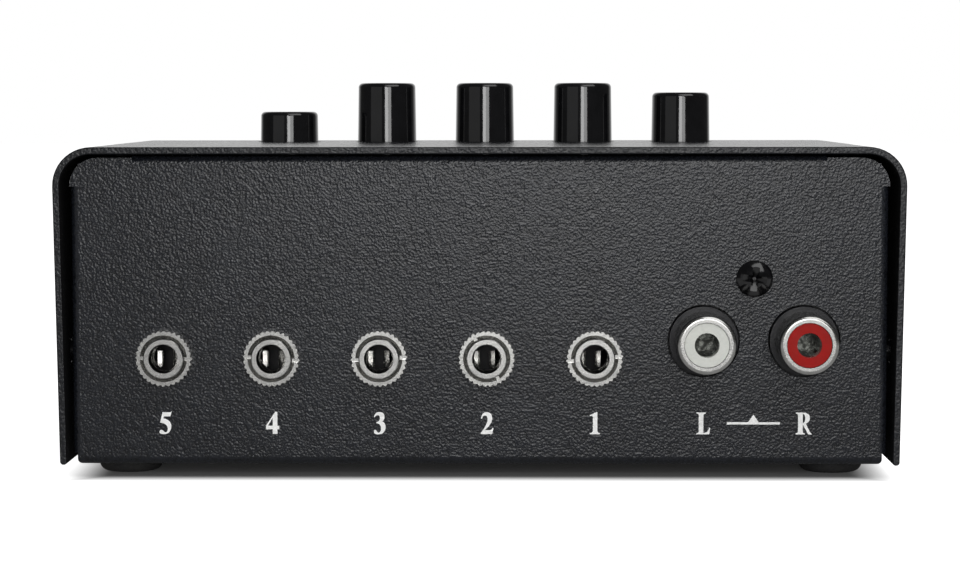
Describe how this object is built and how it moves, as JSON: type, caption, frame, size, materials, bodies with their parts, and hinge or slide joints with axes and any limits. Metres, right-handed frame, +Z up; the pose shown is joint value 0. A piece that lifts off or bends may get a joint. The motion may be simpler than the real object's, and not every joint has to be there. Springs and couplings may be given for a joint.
{
  "type": "speaker selector switch",
  "caption": "Sheet-metal box that switches a stereo input to any of a row of jack outputs with interlocked push buttons.",
  "frame": {"origin": "under the middle of the whole part, on the surface that the feet stand on", "axes": "+Z up, -Y out of the connector panel, +X to the right as seen from that panel"},
  "size_m": [0.1186, 0.074, 0.0556],
  "materials": {
    "black_powder_coat": "fine textured powder coat",
    "black_screw": "black, satin",
    "foot_rubber": "matte",
    "board_green": "solder resist",
    "plated_steel": "zinc plated",
    "nickel": "nickel plated",
    "tinned_contact": "tinned",
    "aged_contact": "tarnished tin",
    "spring_steel": "drawn wire",
    "black_moulding": "matte moulding",
    "white_moulding": "acetal",
    "gloss_black_cap": "gloss",
    "white_insert": "satin",
    "red_insert": "gloss"
  },
  "bodies": {
    "case": {"chassis": "black_powder_coat", "cover": "black_powder_coat", "cover_screws": "black_screw", "rubber_feet": "foot_rubber", "main_board": "board_green", "board_standoffs": "plated_steel", "board_screws": "plated_steel", "phono_block": "black_moulding", "phono_screw": "black_screw", "switch_frame": "plated_steel", "switch_terminals": "tinned_contact", "latch_spring": "spring_steel", "jack_body_1": "black_moulding", "jack_ferrule_1": "nickel", "jack_nut_1": "nickel", "jack_contacts_1": "tinned_contact", "switch_housing_1": "black_moulding", "return_spring_1": "spring_steel", "jack_body_2": "black_moulding", "jack_ferrule_2": "nickel", "jack_nut_2": "nickel", "jack_contacts_2": "tinned_contact", "switch_housing_2": "black_moulding", "return_spring_2": "spring_steel", "jack_body_3": "black_moulding", "jack_ferrule_3": "nickel", "jack_nut_3": "nickel", "jack_contacts_3": "tinned_contact", "switch_housing_3": "black_moulding", "return_spring_3": "spring_steel", "jack_body_4": "black_moulding", "jack_ferrule_4": "nickel", "jack_nut_4": "nickel", "jack_contacts_4": "tinned_contact", "switch_housing_4": "black_moulding", "return_spring_4": "spring_steel", "jack_body_5": "black_moulding", "jack_ferrule_5": "nickel", "jack_nut_5": "nickel", "jack_contacts_5": "tinned_contact", "switch_housing_5": "black_moulding", "return_spring_5": "spring_steel", "phono_shell_white": "nickel", "phono_insulator_white": "white_insert", "phono_contact_white": "aged_contact", "phono_shell_red": "nickel", "phono_insulator_red": "red_insert", "phono_contact_red": "aged_contact"},
    "button_1": {"plunger_1": "white_moulding", "button_cap_1": "gloss_black_cap"},
    "button_2": {"plunger_2": "white_moulding", "button_cap_2": "gloss_black_cap"},
    "button_3": {"plunger_3": "white_moulding", "button_cap_3": "gloss_black_cap"},
    "button_4": {"plunger_4": "white_moulding", "button_cap_4": "gloss_black_cap"},
    "button_5": {"plunger_5": "white_moulding", "button_cap_5": "gloss_black_cap"},
    "latch": {"latch_bar": "plated_steel"}
  },
  "joints": [
    {"name": "press_button_1", "type": "slide", "parent": "case", "child": "button_1", "axis": [0, 0, 1], "range_m": [-0.005, 0], "stiffness_N_per_m": 250, "springref_m": 0.004, "deforming": ["return_spring_1"]},
    {"name": "press_button_2", "type": "slide", "parent": "case", "child": "button_2", "axis": [0, 0, 1], "range_m": [-0.005, 0], "stiffness_N_per_m": 250, "springref_m": 0.004, "deforming": ["return_spring_2"]},
    {"name": "press_button_3", "type": "slide", "parent": "case", "child": "button_3", "axis": [0, 0, 1], "range_m": [-0.005, 0], "stiffness_N_per_m": 250, "springref_m": 0.004, "deforming": ["return_spring_3"]},
    {"name": "press_button_4", "type": "slide", "parent": "case", "child": "button_4", "axis": [0, 0, 1], "range_m": [-0.005, 0], "stiffness_N_per_m": 250, "springref_m": 0.004, "deforming": ["return_spring_4"]},
    {"name": "press_button_5", "type": "slide", "parent": "case", "child": "button_5", "axis": [0, 0, 1], "range_m": [-0.0005, 0.0045], "deforming": ["return_spring_5"]},
    {"name": "slide_latch", "type": "slide", "parent": "case", "child": "latch", "axis": [1, 0, 0], "range_m": [0, 0.0012], "stiffness_N_per_m": 250, "springref_m": -0.001, "deforming": ["latch_spring"]}
  ]
}
